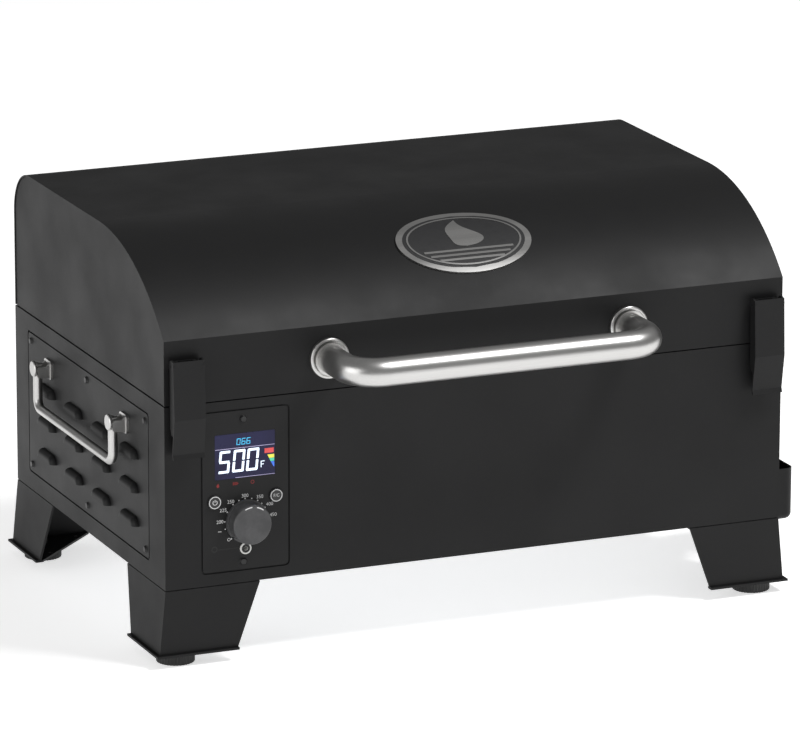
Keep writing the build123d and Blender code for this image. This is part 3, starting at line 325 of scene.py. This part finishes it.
def lit_ink(name, colour, strength):
    """A backlit segment, uneven like a real one."""
    paint = Paint(name, colour, 0.4)
    dim = (*(c * 0.8 for c in colour), 1)
    glow = paint.mix(paint.ramp(paint.noise(160.0, 1.0), 0.3, 0.7), dim, (*colour, 1))
    paint.link(glow, paint.shader.inputs["Emission Color"])
    paint.link(glow, paint.shader.inputs["Base Color"])
    paint.shader.inputs["Emission Strength"].default_value = strength
    paint.bump(paint.noise(500.0), 0.00002, 0.1)
    return paint.material


def printed_ink(name, colour):
    """Screen-printed ink, thin in places; also used for a painted highlight and a painted shade."""
    paint = Paint(name, colour, 0.6)
    paint.patches(tuple(c * 0.55 for c in colour), 900.0, 0.5, 0.8, 0.5, detail=3.0)
    paint.vary_roughness(paint.noise(200.0), 0.5, 0.7)
    paint.bump(paint.noise(900.0), 0.00003, 0.2)
    return paint.material


def make_finishes():
    """The finish of each material slot of the record."""
    return {
        "black_steel": powder_coat("powder_body", 0.0088),
        "panel_steel": powder_coat("powder_panel", 0.0108, 0.48),
        "stainless": brushed_steel("stainless_rods", 0.56, 0.33, (0.02, 1, 1)),
        "zinc_steel": brushed_steel("zinc_plate", 0.5, 0.35, (1, 1, 1)),
        "black_screw": powder_coat("black_oxide", 0.01, 0.35, 0.4, 0.5),
        "bare_steel": heat_steel("heat_steel"),
        "enamel": enamel("grate_enamel"),
        "lens": display_glass("display_glass"),
        "board": circuit_board("circuit_board"),
        "knob_grey": satin_knob("satin_knob"),
        "button_black": plastic("button_plastic", (0.02, 0.02, 0.021), 0.45),
        "jack_white": plastic("jack_plastic", (0.62, 0.62, 0.6), 0.35),
        "motor_metal": brushed_steel("motor_can", 0.45, 0.35, (1, 0.05, 1)),
        "fan_plastic": plastic("fan_plastic", (0.018, 0.018, 0.018), 0.5),
        "badge_metal": brushed_steel("badge_metal", 0.55, 0.28, (0.03, 1, 1)),
        "foot_black": plastic("foot_plastic", (0.016, 0.016, 0.016), 0.55, 400.0),
        "galvanised": galvanised("galvanised"),
    }


def paint_nodes(finishes):
    """Give every CAD node the finish of its slot."""
    for part in frame["record"]["subparts"]:
        mesh = nodes[part["node"]].data
        mesh.materials.clear()
        mesh.materials.append(finishes[part["material_slot"]])


# ---------------------------------------------------------------- printed and lit details, painted highlight and painted shade
ink_t = 0.00006                     # thickness of a printed or lit detail
ink_gap = 0.00004                   # air under it, so that no two faces coincide
letter_middle = 0.00008             # from the face to the middle of a letter's thickness
digit_lean = 0.1                    # sideways step of a display digit per step up


def add_piece(name, mesh, finish, body):
    """A thin piece with one finish, riding on a body."""
    mesh.materials.clear()
    mesh.materials.append(finish)
    piece = bpy.data.objects.new(name, mesh)
    scene.collection.objects.link(piece)
    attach(piece, body)


def solid_from(name, outlines, place, finish, body):
    """Thin plates with these outlines; place(u, v, lift) gives a point, with lift 0 or 1."""
    points = []
    faces = []
    for outline in outlines:
        count = len(outline)
        first = len(points)
        points += [place(u, v, 0) for u, v in outline] + [place(u, v, 1) for u, v in outline]
        low = list(range(first, first + count))
        high = [i + count for i in low]
        faces += [low[::-1], high]
        for i in range(count):
            j = (i + 1) % count
            faces.append((low[i], low[j], high[j], high[i]))
    mesh = bpy.data.meshes.new(name)
    mesh.from_pydata(points, [], faces)
    add_piece(name, mesh, finish, body)


def on_front(centre, face_y):
    """Millimetres right and up from centre, just proud of a front face at face_y."""
    def place(u, v, lift):
        return (centre[0] + u / 1000, face_y - ink_gap - lift * ink_t, centre[1] + v / 1000)

    return place


def ring(radius, width, start=0, stop=360, at=(0, 0)):
    """A ring or an arc as quads, in millimetres and degrees."""
    steps = max(4, round((stop - start) / 7.5))
    turns = [radians(start + (stop - start) * i / steps) for i in range(steps + 1)]
    inner = radius - width
    return [
        [(at[0] + radius * cos(t), at[1] + radius * sin(t)) for t in (a, b)]
        + [(at[0] + inner * cos(t), at[1] + inner * sin(t)) for t in (b, a)]
        for a, b in zip(turns, turns[1:])
    ]


def bar(left, right, low, high):
    return [(left, low), (right, low), (right, high), (left, high)]


def seven_segment(digit, left, low, width, height, line):
    """The lit segments of a leaning digit."""
    right, high, middle = left + width, low + height, low + height / 2
    gap = line * 0.28
    across = {"a": high - line, "g": middle - line / 2, "d": low}
    upright = {
        "f": (left, middle, high), "b": (right - line, middle, high),
        "e": (left, low, middle), "c": (right - line, low, middle),
    }
    lit = {"0": "abcdef", "5": "afgcd", "6": "afgedc"}[digit]
    shapes = [bar(left + gap, right - gap, across[k], across[k] + line) for k in lit if k in across]
    for k in lit:
        if k in upright:
            side, bottom, top = upright[k]
            shapes.append(bar(side, side + line, bottom + gap, top - gap))
    return [[(u + (v - low) * digit_lean, v) for u, v in shape] for shape in shapes]


def digits(row, low, height, line):
    """A line of digits; row gives each digit with its left edge and its width."""
    return [
        shape for digit, left, width in row
        for shape in seven_segment(digit, left, low, width, height, line)
    ]


def lettering(name, words, at, size, centre, face_y, finish, body):
    """A generic number or unit in the plain built-in font, centred on at."""
    curve = bpy.data.curves.new(name, "FONT")
    curve.body = words
    curve.size = size / 1000
    curve.align_x = "CENTER"
    curve.align_y = "CENTER"
    curve.extrude = ink_t / 2
    source = bpy.data.objects.new(name + "_source", curve)
    scene.collection.objects.link(source)
    evaluated = source.evaluated_get(bpy.context.evaluated_depsgraph_get())
    mesh = bpy.data.meshes.new_from_object(evaluated)
    bpy.data.objects.remove(source)
    for vertex in mesh.vertices:
        x, y, z = vertex.co
        vertex.co = (
            centre[0] + at[0] / 1000 + x,
            face_y - letter_middle - z,
            centre[1] + at[1] / 1000 + y,
        )
    mesh.name = name
    add_piece(name, mesh, finish, body)


def middle_of(node):
    """The middle of a node's front, as (x, z), and the y of its front face."""
    low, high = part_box(node)
    return ((low[0] + high[0]) / 2, (low[2] + high[2]) / 2), low[1]


def add_display(centre, face_y):
    """Readings on the lit display, in millimetres from its own centre."""
    place = on_front(centre, face_y)
    white = lit_ink("segment_white", (0.75, 0.86, 1.0), 1.0)
    cyan = lit_ink("segment_cyan", (0.05, 0.38, 0.62), 0.8)
    violet = lit_ink("segment_violet", (0.32, 0.29, 0.45), 0.7)
    set_point = (("5", -25.3, 10.4), ("0", -12.2, 10.8), ("0", 0.7, 10.8))
    reading = (("0", -8.0, 3.6), ("6", -3.4, 3.6), ("6", 1.2, 3.6))
    unit = [
        bar(14.6, 15.3, -12.6, -6.8),
        bar(15.3, 18.2, -7.5, -6.8),
        bar(15.3, 17.4, -10.1, -9.4),
    ]
    rules = [bar(-27.6, 27.6, 6.8, 7.3), bar(-9.0, 27.6, -19.6, -19.2)]
    solid_from("display_set_point", digits(set_point, -14.5, 20, 2.2), place, white, "body")
    solid_from("display_reading", digits(reading, 9.7, 5.8, 0.65), place, cyan, "body")
    solid_from("display_unit", unit, place, white, "body")
    solid_from("display_rules", rules, place, violet, "body")
    bands = (
        ("display_red", (0.5, 0.05, 0.05), bar(18.2, 26.8, -0.3, 4.0)),
        ("display_yellow", (0.62, 0.6, 0.06),
         [(22.4, -5.0), (27.2, -5.0), (27.2, -1.8), (20.9, -1.8)]),
        ("display_green", (0.06, 0.5, 0.3),
         [(23.8, -8.0), (27.2, -8.0), (27.2, -5.2), (22.5, -5.2)]),
        ("display_blue", (0.04, 0.14, 0.62),
         [(26.6, -13.0), (27.2, -13.0), (27.2, -8.2), (23.9, -8.2)]),
    )
    for name, colour, outline in bands:
        solid_from(name, [outline], place, lit_ink(name + "_lit", colour, 0.8), "body")


def add_panel_print(centre, face_y):
    """Dial numbers, ticks and small icons printed on the control panel."""
    place = on_front(centre, face_y)
    white = printed_ink("print_white", (0.6, 0.6, 0.6))
    red = printed_ink("print_red", (0.22, 0.012, 0.012))
    black = printed_ink("print_black", (0.004, 0.004, 0.004))
    dial = (0.8, -28.2)
    numbers = (                     # temperature, turn from the right, reach from the dial
        (200, 177, 24.6), (225, 152, 24.4), (250, 128, 23.4), (300, 93, 22.6),
        (350, 58, 23.8), (400, 30, 25.2), (450, 6, 25.2),
    )
    for number, turn, reach in numbers:
        at = (dial[0] + reach * cos(radians(turn)), dial[1] + reach * sin(radians(turn)))
        lettering(f"dial_{number}", str(number), at, 4.4, centre, face_y, white, "body")
    ticks = []
    for turn in (227, 196, 177, 152, 128, 110, 93, 75, 58, 44, 30, 6):
        ticks += ring(21.0 if turn > 180 else 20.6, 1.1, turn - 1.6, turn + 1.6, dial)
    solid_from("dial_ticks", ticks, place, white, "body")
    low_mark = ring(1.5, 0.45, at=(-15.5, -43.6)) + [bar(-25.6, -22.4, -35.9, -35.4)]
    solid_from("dial_low_mark", low_mark, place, white, "body")
    flame = [
        (-25.5, 3.9), (-24.3, 4.9), (-24.4, 6.4), (-25.4, 8.1),
        (-26.0, 6.9), (-26.7, 6.2), (-26.6, 4.8),
    ]
    auger = [bar(left, left + 1.0, 4.9, 7.6) for left in (-11.6, -10.0, -8.4)]
    auger.append(bar(-11.6, -6.2, 6.0, 6.5))
    fan = ring(1.7, 0.5, at=(6.7, 6.2))
    solid_from("status_icons", [flame] + auger + fan, place, red, "body")
    probe = ring(2.9, 1.1, at=(-29.0, -51.2)) + [bar(-25.9, -5.6, -52.2, -51.6)]
    solid_from("probe_icon", probe, place, black, "body")


def add_button_print():
    """A ring and a symbol on each button."""
    white = printed_ink("button_white", (0.62, 0.62, 0.62))
    for node, body in (("power_button", "power"), ("unit_button", "units")):
        centre, face_y = middle_of(node)
        place = on_front(centre, face_y)
        solid_from(f"{node}_ring", ring(5.55, 0.75), place, white, body)
        if body == "power":
            symbol = ring(2.3, 0.6, 125, 415) + [bar(-0.3, 0.3, 0.2, 2.7)]
            solid_from("power_symbol", symbol, place, white, body)
        else:
            lettering("unit_symbol", "F/C", (0, 0), 4.0, centre, face_y, white, body)


def add_knob_and_jack_print():
    """Painted highlight as two light arcs along the knob's top rim, and painted shade as a dark
    ring in the probe jack's hole.
    """
    painted_highlight = printed_ink("knob_painted_highlight", (0.75, 0.75, 0.75))
    # Painted highlight: light arcs where the knob's top rim catches the light.
    rim_highlights = ring(16.5, 0.9, 52, 76) + ring(16.5, 0.9, 92, 116)
    knob_front = on_front(*middle_of("temperature_knob"))
    solid_from("knob_rim_highlights", rim_highlights, knob_front, painted_highlight, "knob")
    # Painted shade: a black ring standing in for the shade inside the jack's hole.
    well = printed_ink("jack_hole_painted_shade_black", (0.003, 0.003, 0.003))
    solid_from("jack_hole_painted_shade", ring(3.9, 2.0), on_front(*middle_of("probe_jack")), well, "body")


def add_badge_art():
    """A plain flame over grate bars on a dark oval field, following the badge's curve."""
    lid_radius = 0.208              # of the lid's curved front
    crease_drop = 0.071             # from the flat top down to the crease
    badge_rise = 0.0018             # of the badge's face above the curve
    badge_lean = radians(28)        # of the badge's middle, from upright
    art_gap, art_t = 0.00005, 0.0002
    low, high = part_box("badge")
    wrap_low, wrap_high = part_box("lid_wrap")
    centre_x = (low[0] + high[0]) / 2
    curve_z = wrap_high[2] - lid_radius
    curve_y = wrap_low[1] + sqrt(lid_radius**2 - (lid_radius - crease_drop) ** 2)
    face = lid_radius + badge_rise

    def place(u, v, lift):
        turn = badge_lean - v / 1000 / lid_radius
        out = face + art_gap + lift * art_t
        return (centre_x + u / 1000, curve_y - out * sin(turn), curve_z + out * cos(turn))

    def raised(u, v, lift):
        """The same place, above the dark field."""
        return place(u, v, 1.5 + lift * 1.5)

    def rows(low_v, high_v, side, steps=28):
        """Narrow strips between left and right edges, where side(v) gives both."""
        edges = [low_v + (high_v - low_v) * i / steps for i in range(steps + 1)]
        return [
            [(side(a)[0], a), (side(a)[1], a), (side(b)[1], b), (side(b)[0], b)]
            for a, b in zip(edges, edges[1:])
        ]

    def oval(half_w, half_h):
        """The left and right edges of an oval at height v."""
        def sides(v):
            reach = half_w * sqrt(max(0.0, 1 - (v / half_h) ** 2))
            return (-reach, reach)

        return sides

    flame_low, flame_high = -9, 27

    def flame(v):
        """The left and right edges of a swaying flame at height v."""
        rise = (v - flame_low) / (flame_high - flame_low)
        swell = sin(pi * min(1.0, rise**0.55)) * 15.5
        sway = 3.6 * sin(6.4 * rise)
        return (-swell + sway, swell + sway)

    def hoop(half_w, half_h, width, steps=96):
        """A thin oval ring of quads, inward from these half sizes."""
        inner_w, inner_h = half_w - width, half_h - width
        turns = [2 * pi * i / steps for i in range(steps + 1)]
        return [
            [(half_w * cos(t), half_h * sin(t)) for t in (a, b)]
            + [(inner_w * cos(t), inner_h * sin(t)) for t in (b, a)]
            for a, b in zip(turns, turns[1:])
        ]

    black = printed_ink("badge_field_black", (0.008, 0.008, 0.009))
    silver = brushed_steel("badge_silver", 0.6, 0.25, (0.03, 1, 1))
    solid_from("badge_field", rows(-33.5, 33.5, oval(57.5, 33.5)), place, black, "lid")
    solid_from("badge_flame", rows(flame_low, flame_high, flame), raised, silver, "lid")
    bars = []
    for middle_v in (-13.0, -18.2, -23.4):
        ends = oval(47, 31)(middle_v)
        bars += rows(middle_v - 1.2, middle_v + 1.2, lambda v, ends=ends: ends, 2)
    solid_from("badge_grate_bars", bars, raised, silver, "lid")
    solid_from("badge_inner_hoop", hoop(54, 30.8, 1.6), raised, silver, "lid")


make_camera()
make_lights()
make_floor()
finishes = make_finishes()
paint_nodes(finishes)
add_display(*middle_of("display_lens"))
add_panel_print(*middle_of("control_panel"))
add_button_print()
add_knob_and_jack_print()
add_badge_art()
